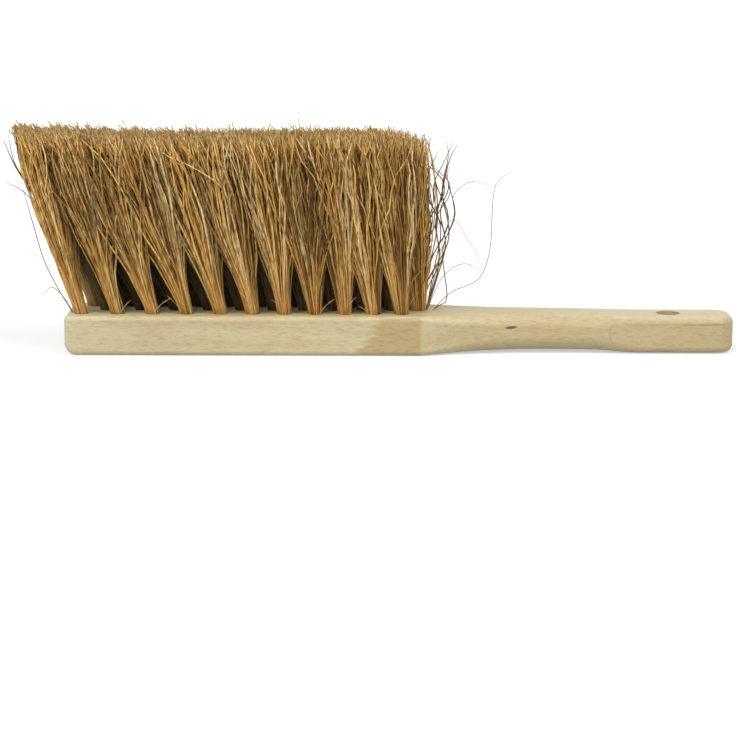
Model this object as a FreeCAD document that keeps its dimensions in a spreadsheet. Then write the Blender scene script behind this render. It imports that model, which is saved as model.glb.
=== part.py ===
import FreeCAD
import Part
import math
import os

import Sketcher

# Hand broom: a one-piece beech stock, drilled as a fan for three rows of coir tufts.
# Each tuft is folded over a wire staple at the bottom of its hole.
# X runs from the head to the handle, Z runs up through the tufts.
# The origin is the middle of the head's flat back.

# Driving sizes in millimetres. Stations run along X from the free end of the head.
# Heights run up from the flat back. A row's stagger is its shift along the head, in pitches,
# so that no gap runs straight through the brush.
SIZES = {
    "stock_length": 280,
    "end_round": 5,
    "grip_corner": 7.5,
    "hang_station": 253,
    "hang_radius": 5,
    "first_tuft": 6.6,
    "tuft_pitch": 15.28,
    "pitch_drop": 0.188,
    "row_pitch": 9.2,
    "front_stagger": 0,
    "middle_stagger": 0.65,
    "back_stagger": 0.23,
    "trim_height": 92,
    "fan_station": 150,
    "fan_reach_x": 540,
    "fan_reach_y": 225,
    "hole_radius": 3,
    "hole_depth": 11,
    "drill_runout": 6,
    "root_radius": 2.9,
    "root_lap": 1.5,
    "flare_radius": 12,
    "tuft_gap": 0.3,
    "staple_wire": 0.9,
    "staple_span": 4.4,
    "staple_seat": 1.4,
    "staple_bite": 3.6,
}

# Main cross-sections of the stock from the head to the flat-sided grip end:
# station, width, height of the underside, height of the top, corner round.
SECTIONS = {
    "shoulder": (149, 34, 0, 16.6, 2),
    "waist": (199, 22, 1.1, 16.8, 6.2),
    "palm": (219, 22, 1, 16.5, 6.2),
    "grip": (240, 22, 0.2, 15.6, 3),
}
SECTION_SIZES = ("station", "width", "lift", "top", "round")


def ease_out(share):
    """Starts at full slope and settles level, as the neck leaves the shoulder."""
    return share * (2 - share)


def ease_both(share):
    """Starts and ends level, as the edge rounding runs out at the grip end."""
    return share * share * (3 - 2 * share)


# Stretches of the handle between main sections: start, end, steps, and how the sizes change.
STRETCHES = (
    ("shoulder", "waist", 7, ease_out),
    ("waist", "palm", 1, ease_both),
    ("palm", "grip", 5, ease_both),
)

TUFTS_PER_ROW = 11
TUFT_SIDES = 12
ROWS = {"front": -1, "middle": 0, "back": 1}
FREE_HEIGHT = "(Sizes.trim_height - Sizes.shoulder_top)"
TOLERANCE = 1e-4

doc = FreeCAD.newDocument("hand_broom")


def make_sheet():
    """Write every driving size into a spreadsheet cell with an alias."""
    sheet = doc.addObject("Spreadsheet::Sheet", "Sizes")
    cells = dict(SIZES)
    for section, values in SECTIONS.items():
        for size, value in zip(SECTION_SIZES, values):
            cells[f"{section}_{size}"] = value
    for row, (alias, value) in enumerate(cells.items(), start=1):
        sheet.set(f"A{row}", alias)
        sheet.set(f"B{row}", str(value))
        sheet.setAlias(f"B{row}", alias)
    doc.recompute()
    return sheet


def bind(item, expressions):
    """Tie an object's properties to the sheet."""
    for name, text in expressions.items():
        item.setExpression(name, text)


def along(station):
    """Expression for the X of a station counted from the free end of the head."""
    return f"({station} - Sizes.shoulder_station / 2)"


def origin_plane(body, role):
    """One of a body's own origin planes."""
    return next(plane for plane in body.Origin.OriginFeatures if plane.Role == role)


def attach(sketch, body, role, x, y, z):
    """Lay a sketch on an origin plane of its body, moved by three expressions."""
    sketch.AttachmentSupport = [(origin_plane(body, role), "")]
    sketch.MapMode = "FlatFace"
    bind(sketch, {
        "AttachmentOffset.Base.x": x,
        "AttachmentOffset.Base.y": y,
        "AttachmentOffset.Base.z": z,
    })


def edge_names(shape, wanted):
    """Names of the edges that a test picks out by their points."""
    return [
        f"Edge{number}"
        for number, edge in enumerate(shape.Edges, start=1)
        if wanted(edge.discretize(3))
    ]


def near(value, target):
    """True for two coordinates that are the same to within the tolerance."""
    return abs(value - target) < TOLERANCE


def fillet(body, base, name, radius, wanted):
    """Round the edges of a body's last feature that a test picks out."""
    doc.recompute()
    feature = body.newObject("PartDesign::Fillet", name)
    feature.Base = (base, edge_names(base.Shape, wanted))
    bind(feature, {"Radius": radius})
    doc.recompute()
    return feature


def plan_block(name, start, length, width, lift, height):
    """A body sawn from board: a rectangle in plan, padded to its thickness."""
    body = doc.addObject("PartDesign::Body", name)
    sketch = body.newObject("Sketcher::SketchObject", f"{name}_plan")
    attach(sketch, body, "XY_Plane", start, f"-({width}) / 2", lift)
    corners = [(0, 0), (1, 0), (1, 1), (0, 1)]
    for here, there in zip(corners, corners[1:] + corners[:1]):
        sketch.addGeometry(Part.LineSegment(FreeCAD.Vector(*here), FreeCAD.Vector(*there)))
    for side in range(4):
        sketch.addConstraint(Sketcher.Constraint("Coincident", side, 2, (side + 1) % 4, 1))
    for side in (0, 2):
        sketch.addConstraint(Sketcher.Constraint("Horizontal", side))
    for side in (1, 3):
        sketch.addConstraint(Sketcher.Constraint("Vertical", side))
    sketch.addConstraint(Sketcher.Constraint("Coincident", 0, 1, -1, 1))
    sketch.addConstraint(Sketcher.Constraint("DistanceX", 0, 1, 0, 2, 1))
    sketch.renameConstraint(sketch.ConstraintCount - 1, "length")
    sketch.addConstraint(Sketcher.Constraint("DistanceY", 1, 1, 1, 2, 1))
    sketch.renameConstraint(sketch.ConstraintCount - 1, "width")
    bind(sketch, {"Constraints.length": length, "Constraints.width": width})
    pad = body.newObject("PartDesign::Pad", f"{name}_board")
    pad.Profile = sketch
    bind(pad, {"Length": height})
    doc.recompute()
    return body, pad


def make_head():
    """The head: a straight block with softened edges and a rounder lower end edge."""
    body, pad = plan_block(
        "head_block", along("0"), "Sizes.shoulder_station", "Sizes.shoulder_width",
        "Sizes.shoulder_lift", "Sizes.shoulder_top - Sizes.shoulder_lift")
    box = pad.Shape.BoundBox

    def lower_end(points):
        return all(near(p.x, box.XMin) and near(p.z, box.ZMin) for p in points)

    def softened(points):
        on_side = all(near(abs(p.y), box.YMax) for p in points)
        at_neck = all(near(p.x, box.XMax) for p in points)
        upper_end = all(near(p.x, box.XMin) and near(p.z, box.ZMax) for p in points)
        return (on_side and not at_neck) or upper_end

    rounded = fillet(body, pad, "lower_end_round", "Sizes.end_round", lower_end)
    fillet(body, rounded, "head_edge_round", "Sizes.shoulder_round", softened)
    return body


def between(first, last, share, eased):
    """Expressions for a cross-section part of the way from one main section to the next."""
    sizes = {}
    for size in SECTION_SIZES:
        part = share if size == "station" else eased
        low = f"Sizes.{first}_{size}"
        sizes[size] = f"({low} + (Sizes.{last}_{size} - {low}) * {part:.4f})"
    return sizes


def rounded_section(body, sheet, name, sizes):
    """One upright cross-section of the handle: a rectangle with four equal rounds."""
    values = {size: sheet.evalExpression(text) for size, text in sizes.items()}
    width = values["width"]
    corner = values["round"]
    tall = values["top"] - values["lift"]
    inner = width / 2 - corner
    sketch = body.newObject("Sketcher::SketchObject", name)
    attach(sketch, body, "YZ_Plane", "0", sizes["lift"], along(sizes["station"]))
    starts = [(-inner, 0), (width / 2, corner), (inner, tall), (-width / 2, tall - corner)]
    ends = [(inner, 0), (width / 2, tall - corner), (-inner, tall), (-width / 2, corner)]
    centres = [(inner, corner), (inner, tall - corner), (-inner, tall - corner), (-inner, corner)]
    for side in range(4):
        line = Part.LineSegment(FreeCAD.Vector(*starts[side]), FreeCAD.Vector(*ends[side]))
        circle = Part.Circle(FreeCAD.Vector(*centres[side]), FreeCAD.Vector(0, 0, 1), corner)
        sketch.addGeometry(line)
        sketch.addGeometry(Part.ArcOfCircle(circle, (side - 1) * math.pi / 2, side * math.pi / 2))
    for piece in range(8):
        sketch.addConstraint(Sketcher.Constraint("Tangent", piece, 2, (piece + 1) % 8, 1))
    sketch.addConstraint(Sketcher.Constraint("Symmetric", 0, 1, 0, 2, -2))
    sketch.addConstraint(Sketcher.Constraint("Vertical", 2))
    sketch.addConstraint(Sketcher.Constraint("Horizontal", 4))
    sketch.addConstraint(Sketcher.Constraint("Vertical", 6))
    for arc in (3, 5, 7):
        sketch.addConstraint(Sketcher.Constraint("Equal", 1, arc))
    sketch.addConstraint(Sketcher.Constraint("PointOnObject", 0, 1, -1))
    named = {
        "width": Sketcher.Constraint("DistanceX", 6, 1, 2, 1, width),
        "tall": Sketcher.Constraint("DistanceY", 0, 1, 4, 1, tall),
        "corner": Sketcher.Constraint("Radius", 1, corner),
    }
    for label, constraint in named.items():
        sketch.addConstraint(constraint)
        sketch.renameConstraint(sketch.ConstraintCount - 1, label)
    bind(sketch, {
        "Constraints.width": sizes["width"],
        "Constraints.tall": f"{sizes['top']} - {sizes['lift']}",
        "Constraints.corner": sizes["round"],
    })
    return sketch


def make_handle(sheet):
    """The neck and waist: ruled stretches whose edge rounding grows, then runs out at the grip."""
    body = doc.addObject("PartDesign::Body", "handle_loft")
    sections = [between("shoulder", "waist", 0, 0)]
    for first, last, steps, ease in STRETCHES:
        shares = [step / steps for step in range(1, steps + 1)]
        sections += [between(first, last, share, ease(share)) for share in shares]
    sketches = [
        rounded_section(body, sheet, f"handle_section_{number}", sizes)
        for number, sizes in enumerate(sections)
    ]
    doc.recompute()
    loft = body.newObject("PartDesign::AdditiveLoft", "handle_skin")
    loft.Profile = sketches[0]
    loft.Sections = sketches[1:]
    loft.Ruled = True
    doc.recompute()
    return body


def make_grip():
    """The flat-sided grip end with its rounded corners."""
    body, pad = plan_block(
        "grip_block", along("Sizes.grip_station"), "Sizes.stock_length - Sizes.grip_station",
        "Sizes.grip_width", "Sizes.grip_lift", "Sizes.grip_top - Sizes.grip_lift")
    box = pad.Shape.BoundBox

    def upright_end(points):
        return all(near(p.x, box.XMax) and near(abs(p.y), box.YMax) for p in points)

    def outline(points):
        level = all(near(p.z, box.ZMin) for p in points) or all(near(p.z, box.ZMax) for p in points)
        at_waist = all(near(p.x, box.XMin) for p in points)
        return level and not at_waist

    cornered = fillet(body, pad, "grip_corners", "Sizes.grip_corner", upright_end)
    fillet(body, cornered, "grip_edge_round", "Sizes.grip_round", outline)
    return body


def make_hang_drill():
    """The drill for the hanging hole, right through the grip end."""
    drill = doc.addObject("Part::Cylinder", "hang_drill")
    bind(drill, {
        "Radius": "Sizes.hang_radius",
        "Height": "Sizes.shoulder_top + 2 * Sizes.drill_runout",
        "Placement.Base.x": along("Sizes.hang_station"),
        "Placement.Base.z": "-Sizes.drill_runout",
    })
    return drill


class TuftPlace:
    """Where one tuft sits in the fan, as expressions on the sheet."""

    def __init__(self, row, number):
        self.name = f"{row}_{number + 1:02d}"
        self.line = ROWS[row]
        self.count = f"({number} + Sizes.{row}_stagger)"
        self.x = self.seat_x(self.count)
        self.y = self.seat_y(self.line)
        slope = f"({self.x} - {along('Sizes.fan_station')}) / Sizes.fan_reach_x"
        side_slope = f"{self.y} / Sizes.fan_reach_y"
        pitch = f"atan({slope})"
        roll = f"-atan({side_slope} * cos({pitch}))"
        self.axis = (
            f"placement(vector({self.x}; {self.y}; Sizes.shoulder_top);"
            f" rotation(0; {pitch}; {roll}))")

    @staticmethod
    def seat_x(count):
        """X on the top of the head; the pitch closes up towards the handle."""
        return along(
            f"(Sizes.first_tuft + Sizes.tuft_pitch * {count}"
            f" - Sizes.pitch_drop * {count} * {count})")

    @staticmethod
    def seat_y(line):
        """Y of a row on the top of the head."""
        return f"({line} * Sizes.row_pitch)"

    def wall_x(self, side, level):
        """X of the fan wall half a pitch to one side, at a height over the head."""
        wall = self.seat_x(f"({self.count} + {side} / 2)")
        spread = f"({wall} - {along('Sizes.fan_station')}) * {level} / Sizes.fan_reach_x"
        return f"{wall} + {spread} - {side} * Sizes.tuft_gap / 2"

    def wall_y(self, side, level):
        """Y of the wall between two rows, at a height over the head."""
        wall = self.seat_y(f"({self.line} + {side} / 2)")
        return f"{wall} * (1 + {level} / Sizes.fan_reach_y) - {side} * Sizes.tuft_gap / 2"

    def shifted(self, x, y, z):
        """A placement on the tuft's own leaning axis, moved by three local sizes."""
        return f"{self.axis} * placement(vector({x}; {y}; {z}); rotation(0; 0; 0))"


def make_bar(place, kind, radius, rise):
    """A many-sided bar on a tuft's axis, from the bottom of its hole to a rise over the mouth."""
    bar = doc.addObject("Part::Prism", f"{kind}_{place.name}")
    bar.Polygon = TUFT_SIDES
    bind(bar, {
        "Circumradius": radius,
        "Height": f"Sizes.hole_depth + {rise}",
        "Placement": place.shifted("0", "0", "-Sizes.hole_depth"),
    })
    return bar


def make_staple(place):
    """A wire staple: its crown holds the fold of the tuft, its legs bite into the wood."""
    height = "(Sizes.staple_wire + Sizes.staple_seat + Sizes.staple_bite)"
    foot = "(-Sizes.hole_depth - Sizes.staple_bite)"
    outer = doc.addObject("Part::Box", f"staple_wire_{place.name}")
    bind(outer, {
        "Length": "Sizes.staple_wire",
        "Width": "Sizes.staple_span",
        "Height": height,
        "Placement": place.shifted("-Sizes.staple_wire / 2", "-Sizes.staple_span / 2", foot),
    })
    inner = doc.addObject("Part::Box", f"staple_gap_{place.name}")
    bind(inner, {
        "Length": "3 * Sizes.staple_wire",
        "Width": "Sizes.staple_span - 2 * Sizes.staple_wire",
        "Height": f"2 * ({height} - Sizes.staple_wire)",
        "Placement": place.shifted(
            "-1.5 * Sizes.staple_wire", "Sizes.staple_wire - Sizes.staple_span / 2",
            f"{foot} - {height} + Sizes.staple_wire"),
    })
    return cut(f"staple_{place.name}", outer, inner)


def make_flares(place):
    """Square flares turned about the tuft's axis; what they share is a many-sided flare."""
    side_angle = 360 / TUFT_SIDES
    low = "(-Sizes.drill_runout)"
    high = f"(1.5 * {FREE_HEIGHT})"

    def reach(level):
        spread = f"(Sizes.flare_radius - Sizes.root_radius) * {level} / {FREE_HEIGHT}"
        return f"(Sizes.root_radius + {spread}) * cos({side_angle / 2} deg)"

    flares = []
    for number in range(TUFT_SIDES // 4):
        turn = (number + 0.5) * side_angle
        flare = doc.addObject("Part::Wedge", f"flare_{number + 1}_{place.name}")
        sizes = {"Ymin": low, "Ymax": high}
        for axis in "XZ":
            sizes[f"{axis}min"] = f"-{reach(low)}"
            sizes[f"{axis}max"] = reach(low)
            sizes[f"{axis}2min"] = f"-{reach(high)}"
            sizes[f"{axis}2max"] = reach(high)
        sizes["Placement"] = f"{place.axis} * placement(vector(0; 0; 0); rotation({turn}; 0; 90))"
        bind(flare, sizes)
        flares.append(flare)
    return flares


def make_cell(place):
    """The share of the fan that one tuft fills, between the walls to its neighbours."""
    cell = doc.addObject("Part::Wedge", f"cell_{place.name}")
    bind(cell, {
        "Ymin": "Sizes.shoulder_top",
        "Ymax": "Sizes.trim_height",
        "Xmin": place.wall_x(-1, "0"),
        "Xmax": place.wall_x(1, "0"),
        "X2min": place.wall_x(-1, FREE_HEIGHT),
        "X2max": place.wall_x(1, FREE_HEIGHT),
        "Zmin": f"-({place.wall_y(1, '0')})",
        "Zmax": f"-({place.wall_y(-1, '0')})",
        "Z2min": f"-({place.wall_y(1, FREE_HEIGHT)})",
        "Z2max": f"-({place.wall_y(-1, FREE_HEIGHT)})",
        "Placement": "placement(vector(0; 0; 0); rotation(0; 0; 90))",
    })
    return cell


def make_tuft(place, staple):
    """A coir tuft: a round root in its hole, flaring out until it meets its neighbours."""
    fan = doc.addObject("Part::MultiCommon", f"fan_{place.name}")
    fan.Shapes = [make_cell(place)] + make_flares(place)
    root = make_bar(place, "root", "Sizes.root_radius", "Sizes.root_lap")
    brush = doc.addObject("Part::MultiFuse", f"brush_{place.name}")
    brush.Shapes = [root, fan]
    return cut(f"tuft_{place.name}", brush, staple)


def make_compound(name, members):
    """A group of separate solids."""
    group = doc.addObject("Part::Compound", name)
    group.Links = members
    return group


def cut(name, base, tool):
    """One shape with another taken out of it."""
    feature = doc.addObject("Part::Cut", name)
    feature.Base = base
    feature.Tool = tool
    return feature


def make_stock(sheet, drills, staples):
    """The beech stock: head, handle and grip end as one piece, drilled and stapled."""
    blank = doc.addObject("Part::MultiFuse", "stock_blank")
    blank.Shapes = [make_head(), make_handle(sheet), make_grip()]
    blank.Refine = True
    bores = make_compound("bores", drills + [make_hang_drill()])
    drilled = cut("drilled_stock", blank, bores)
    return cut("stock", drilled, staples)


def check(parts):
    """Stop before anything is written if an object failed or a shape is not sound."""
    for item in doc.Objects:
        if "Invalid" in item.State or "Error" in item.State:
            raise RuntimeError(f"{item.Label} failed: {item.getStatusString()}")
    for part in parts:
        if part.Shape.isNull() or not part.Shape.isValid():
            raise RuntimeError(f"{part.Label} has no sound shape")


def main():
    sheet = make_sheet()
    places = [TuftPlace(row, number) for row in ROWS for number in range(TUFTS_PER_ROW)]
    drills = [make_bar(place, "drill", "Sizes.hole_radius", "Sizes.drill_runout") for place in places]
    staples = [make_staple(place) for place in places]
    tufts = [make_tuft(place, staple) for place, staple in zip(places, staples)]
    staple_set = make_compound("tuft_staples", staples)
    stock = make_stock(sheet, drills, staple_set)
    doc.recompute()
    parts = [stock, staple_set] + tufts
    check(parts)
    os.makedirs("parts", exist_ok=True)
    for part in parts:
        part.Label = part.Name
        part.Shape.exportStep(os.path.join("parts", f"{part.Label}.step"))
        solids = len(part.Shape.Solids)
        print(f"{part.Label}: {solids} solid(s), {part.Shape.Volume / 1000:.2f} cm3")


main()
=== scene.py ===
# %% [markdown]
# A hand broom: a beech stock with three rows of coir tufts, lying on its back with the fibres up.
# The imported model is loaded first and never moved. It gives every piece its place and its size.

# %% Load the imported broom
import math

import bpy
import numpy as np
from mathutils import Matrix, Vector


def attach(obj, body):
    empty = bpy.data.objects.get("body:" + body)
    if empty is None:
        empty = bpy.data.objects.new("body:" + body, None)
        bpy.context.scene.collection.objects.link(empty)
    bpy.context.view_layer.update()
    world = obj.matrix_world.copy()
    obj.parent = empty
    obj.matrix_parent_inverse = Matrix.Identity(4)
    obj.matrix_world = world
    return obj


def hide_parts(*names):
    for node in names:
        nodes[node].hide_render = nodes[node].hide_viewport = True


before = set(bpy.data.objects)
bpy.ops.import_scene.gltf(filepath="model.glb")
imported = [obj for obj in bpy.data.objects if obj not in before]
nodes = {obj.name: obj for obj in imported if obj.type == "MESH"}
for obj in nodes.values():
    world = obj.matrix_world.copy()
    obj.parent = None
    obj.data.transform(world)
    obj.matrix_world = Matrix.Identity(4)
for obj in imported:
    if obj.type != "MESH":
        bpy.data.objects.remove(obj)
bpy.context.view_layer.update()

MM = 0.001
tuft_names = sorted(name for name in nodes if name.startswith("tuft_") and name != "tuft_staples")
print("tufts to dress:", len(tuft_names))

# %% [markdown]
# The camera comes next, so that every later look is from the right place.
# It stands about a metre in front of the broom, a little above it, with a long lens.
# A long lens keeps the head straight and lets the far row of tips show just above the near one.
# The focal length was found in pixels of a square picture and is turned into millimetres here.

# %% Set up the camera
CAMERA_PLACE = Vector((52.0, -984, 195.4)) * MM
CAMERA_DROP = math.radians(11.706)
CAMERA_ROLL = math.radians(0.146)
FOCAL_PIXELS = 2368.6
PICTURE_PIXELS = 736
SENSOR_WIDTH = 36

lens_data = bpy.data.cameras.new("front_camera")
lens_data.sensor_width = SENSOR_WIDTH
lens_data.lens = FOCAL_PIXELS / PICTURE_PIXELS * SENSOR_WIDTH
camera = bpy.data.objects.new("front_camera", lens_data)
camera.location = CAMERA_PLACE
camera.rotation_euler = (math.pi / 2 - CAMERA_DROP, 0, 0)
camera.rotation_euler.rotate_axis("Z", CAMERA_ROLL)
bpy.context.scene.collection.objects.link(camera)
bpy.context.scene.camera = camera
bpy.context.scene.view_settings.view_transform = "Standard"
print("lens in mm:", round(lens_data.lens, 1))

# %% [markdown]
# Coir is the brown husk fibre of the coconut: stiff, about half a millimetre thick, thin at the tip.
# One fibre is modelled by hand and then repeated some hundreds of times in each tuft.
# It starts as a flat circle of four points. The circle is extruded ring by ring, and each ring is
# scaled to its width. Four sides are enough for something about as thin as a pixel.
# A second pattern with more rings is for the few stray fibres that curl.

# %% Model one fibre
FIBRE_SIDES = 4
FIBRE_WIDTHS = (0.50, 0.60, 0.72, 0.86, 0.96, 1.00, 1.00, 0.98, 0.94, 0.86, 0.74, 0.50)
STRAY_WIDTHS = (0.85,) + (1.00,) * 16 + (0.97, 0.93, 0.88, 0.80, 0.70, 0.56, 0.35)


def model_fibre(name, widths):
    """An upright fibre of unit height and about unit radius, closed at both ends."""
    bpy.ops.object.select_all(action="DESELECT")
    bpy.ops.mesh.primitive_circle_add(vertices=FIBRE_SIDES, radius=widths[0], fill_type="NGON")
    fibre = bpy.context.object
    fibre.name = name
    rise = 1 / (len(widths) - 1)
    bpy.ops.object.mode_set(mode="EDIT")
    bpy.ops.mesh.select_all(action="SELECT")
    for below, above in zip(widths, widths[1:]):
        bpy.ops.mesh.extrude_region_move(TRANSFORM_OT_translate={"value": (0, 0, rise)})
        bpy.ops.transform.resize(value=(above / below, above / below, 1))
    bpy.ops.mesh.select_all(action="SELECT")
    bpy.ops.mesh.normals_make_consistent(inside=False)
    bpy.ops.object.mode_set(mode="OBJECT")
    return fibre


fibre = model_fibre("fibre_pattern", FIBRE_WIDTHS)
stray = model_fibre("stray_pattern", STRAY_WIDTHS)
print("faces in one fibre:", len(fibre.data.polygons), "and in one stray:", len(stray.data.polygons))

# %% [markdown]
# The pattern is read once into plain arrays: its points, its faces and a flat layout of the faces.
# In the layout the four sides lie next to each other as strips, with the two small end caps above.
# Each copy gets this layout in a cell of its own, so a colour painted on one fibre stays on it.
# After that the modelled pattern itself is no longer needed and is removed.

# %% Read the pattern
STRIP_FOOT = 0.06
STRIP_TOP = 0.80
EDGE_MARGIN = 0.06
CAP_FOOT = 0.85
CAP_SIZE = 0.10
LOWER_CAP_LEFT = 0.2
UPPER_CAP_LEFT = 0.6
CAP_CORNERS = np.array([(0, 0), (1, 0), (1, 1), (0, 1)])


class Pattern:
    """Points, faces and flat layout of a modelled fibre."""

    def __init__(self, piece, widths):
        mesh = piece.data
        self.points = np.array([point.co for point in mesh.vertices])
        self.faces = np.array([list(face.vertices) for face in mesh.polygons])
        self.rings = len(widths)
        self.ring = np.rint(self.points[:, 2] * (self.rings - 1)).astype(int)
        turn = np.arctan2(self.points[:, 1], self.points[:, 0])
        self.corner = np.rint(turn / (2 * math.pi) * FIBRE_SIDES).astype(int) % FIBRE_SIDES
        self.layout = np.array([self.flatten(face) for face in self.faces])
        bpy.data.objects.remove(piece)

    def flatten(self, face):
        """Where the four points of one face lie in the unit cell."""
        rings = self.ring[face]
        corners = self.corner[face].astype(float)
        if rings.min() == rings.max():
            left = LOWER_CAP_LEFT if rings[0] == 0 else UPPER_CAP_LEFT
            return CAP_CORNERS[self.corner[face]] * CAP_SIZE + (left, CAP_FOOT)
        if corners.max() - corners.min() > 1:
            corners[corners == 0] = FIBRE_SIDES
        across = EDGE_MARGIN + corners / FIBRE_SIDES * (1 - 2 * EDGE_MARGIN)
        up = STRIP_FOOT + rings / (self.rings - 1) * (STRIP_TOP - STRIP_FOOT)
        return np.stack([across, up], axis=1)


fibre_pattern = Pattern(fibre, FIBRE_WIDTHS)
stray_pattern = Pattern(stray, STRAY_WIDTHS)
print("pattern points:", len(fibre_pattern.points), "and", len(stray_pattern.points))

# %% [markdown]
# A copy is laid by bending the pattern along a path. At each ring of the path two directions are
# found that lie square to it, and the ring's points are set out along them.
# This could be done with a Curve modifier on every copy, but thousands of those would be far too slow.

# %% Bend a pattern along many paths
def square_directions(paths, twist):
    """Two directions square to each path at each of its points."""
    run = np.gradient(paths, axis=1)
    run /= np.linalg.norm(run, axis=2, keepdims=True)
    side = np.cross(run, np.array([0.0, 1.0, 0.0]))
    side /= np.linalg.norm(side, axis=2, keepdims=True)
    other = np.cross(run, side)
    cosine = np.cos(twist)[:, None, None]
    sine = np.sin(twist)[:, None, None]
    return side * cosine + other * sine, other * cosine - side * sine


def bend_copies(pattern, paths, radii, twist):
    """Points of one copy of the pattern for each path."""
    side, other = square_directions(paths, twist)
    spread = pattern.points[:, :2]
    centre = paths[:, pattern.ring]
    wide = side[:, pattern.ring] * spread[None, :, :1] + other[:, pattern.ring] * spread[None, :, 1:2]
    return centre + wide * radii[:, None, None]


upright = np.linspace((0, 0, 0), (0, 0, 1), fibre_pattern.rings)[None]
bent = bend_copies(fibre_pattern, upright, np.ones(1), np.zeros(1))
print("points of one copy on an upright path:", bent.shape[1], "height:", round(bent[..., 2].max(), 3))

# %% [markdown]
# In a real tuft a bundle of fibres is folded over a staple at the bottom of a drilled hole, so all of
# them leave the round mouth of the hole together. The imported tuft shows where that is: a line from
# the middle of its foot to the middle of its crown passes the top of the head at the mouth.
# The last step of the maker is to trim the whole brush level. This one falls a little from the free
# end towards the middle and curves down at the corner next to the handle.

# %% Line and trim of a tuft
HEAD_TOP = 16.6 * MM
FOOT_SLICE = 2 * MM
CROWN_SLICE = 0.1 * MM
TRIM_HEIGHT = 91.6 * MM
TRIM_FALL = 1.1 * MM
FALL_START = -90 * MM
FALL_LENGTH = 50 * MM
CORNER_START = 60 * MM
CORNER_CURVE = 11


def middle_of(points):
    """The middle of the box round some points."""
    return (points.min(axis=0) + points.max(axis=0)) / 2


def tuft_line(name):
    """The middle of a tuft at the mouth of its hole and at the trim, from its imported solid."""
    mesh = nodes[name].data
    points = np.empty(len(mesh.vertices) * 3)
    mesh.vertices.foreach_get("co", points)
    points = points.reshape(-1, 3)
    heights = points[:, 2]
    foot = middle_of(points[heights < heights.min() + FOOT_SLICE])
    crown = middle_of(points[heights > heights.max() - CROWN_SLICE])
    share = (HEAD_TOP - foot[2]) / (crown[2] - foot[2])
    return foot + (crown - foot) * share, crown


def trim_line(x):
    """Height of the trimmed top at a place along the head."""
    fall = TRIM_FALL * np.clip((x - FALL_START) / FALL_LENGTH, 0, 1)
    return TRIM_HEIGHT - fall - CORNER_CURVE * np.maximum(x - CORNER_START, 0) ** 2


for name in (tuft_names[0], tuft_names[-1]):
    mouth, crown = tuft_line(name)
    print(name, "mouth in mm:", np.round(mouth / MM, 1), "crown in mm:", np.round(crown / MM, 1))

# %% [markdown]
# Above the mouth the fibres fan out. Fibres that start near each other stay together as a lock, which
# drifts as one strand. The locks spread until neighbouring tufts merge, and no two tufts open alike.
# A few unruly fibres leave their lock and cross the others. Tips that would stand far outside the
# brush are drawn in softly, because its sides are combed straight. Its two ends stand a little
# askew, and the inner rows fan out a little wider than the front one.
# Some fibres are a little short and a few are long, so the trimmed top isn't a flat sheet.

# %% Tips of the fibres
FIBRES_PER_TUFT = 260
LOCKS_PER_TUFT = 60
TIP_SPREAD = np.array([11.4, 6.2]) * MM
SPREAD_RANGE = (0.85, 1.20)
LOCK_DRIFT = 2.6 * MM
LOCK_WIDTH = 2.2 * MM
UNRULY_SHARES = (0.05, 0.22, 0.50)
UNRULY_REACHES = (16 * MM, 7 * MM, 3 * MM)
CALM_REACH = 1 * MM
SIDEWAYS_CALM = np.array([1.0, 0.5])
SIDEWAYS_EDGES = (-18 * MM, 18 * MM)
LENGTHWISE_EDGES = (-88 * MM, 72.5 * MM)
EDGE_SOFTNESS = 6 * MM
END_SKEW = 0.15
FAN_MIDDLE = 75 * MM
ROW_STRETCH = {"front": 1.00, "middle": 1.09, "back": 1.08}
TRIM_ROUGHNESS = 1 * MM
SHORT_SHARE = 0.16
SHORT_BY = 6 * MM
LONG_SHARE = 0.01
LONG_BY = 3 * MM


def disc_points(rng, count):
    """Points spread evenly over a disc of unit radius."""
    turn = rng.random(count) * 2 * math.pi
    reach = np.sqrt(rng.random(count))
    return np.stack([reach * np.cos(turn), reach * np.sin(turn)], axis=1)


def gather_locks(rng, count):
    """Starts on a unit disc, the lock of each fibre, and how far its lock has moved it at the tip."""
    start = disc_points(rng, count)
    locks = disc_points(rng, LOCKS_PER_TUFT)
    spread = TIP_SPREAD * rng.uniform(*SPREAD_RANGE)
    lock_tips = locks * spread + rng.normal(0, 1, locks.shape) * LOCK_DRIFT * SIDEWAYS_CALM
    lock = np.argmin(np.linalg.norm(start[:, None] - locks[None], axis=2), axis=1)
    return start, lock, lock_tips[lock] + (start - locks[lock]) * LOCK_WIDTH


def hold_in(place, edges):
    """Draw in the tips that reach past two edges of the brush."""
    low, high = edges
    over = np.maximum(place - high, 0)
    under = np.maximum(low - place, 0)
    reach = EDGE_SOFTNESS * (np.exp(-under / EDGE_SOFTNESS) - np.exp(-over / EDGE_SOFTNESS))
    return np.clip(place, low, high) + reach


def place_tips(rng, calm_tips, row):
    """Tips of all the fibres of a tuft, seen from above."""
    temper = rng.random(len(calm_tips))
    unruly = np.select([temper < share for share in UNRULY_SHARES], UNRULY_REACHES, CALM_REACH)
    tips = calm_tips + rng.normal(0, 1, calm_tips.shape) * unruly[:, None] * SIDEWAYS_CALM
    tips[:, 1] = hold_in(tips[:, 1], SIDEWAYS_EDGES)
    skew = END_SKEW * tips[:, 1]
    stretched = FAN_MIDDLE + (tips[:, 0] - FAN_MIDDLE) * ROW_STRETCH[row]
    tips[:, 0] = hold_in(stretched + skew, LENGTHWISE_EDGES) - skew
    return tips


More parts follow.
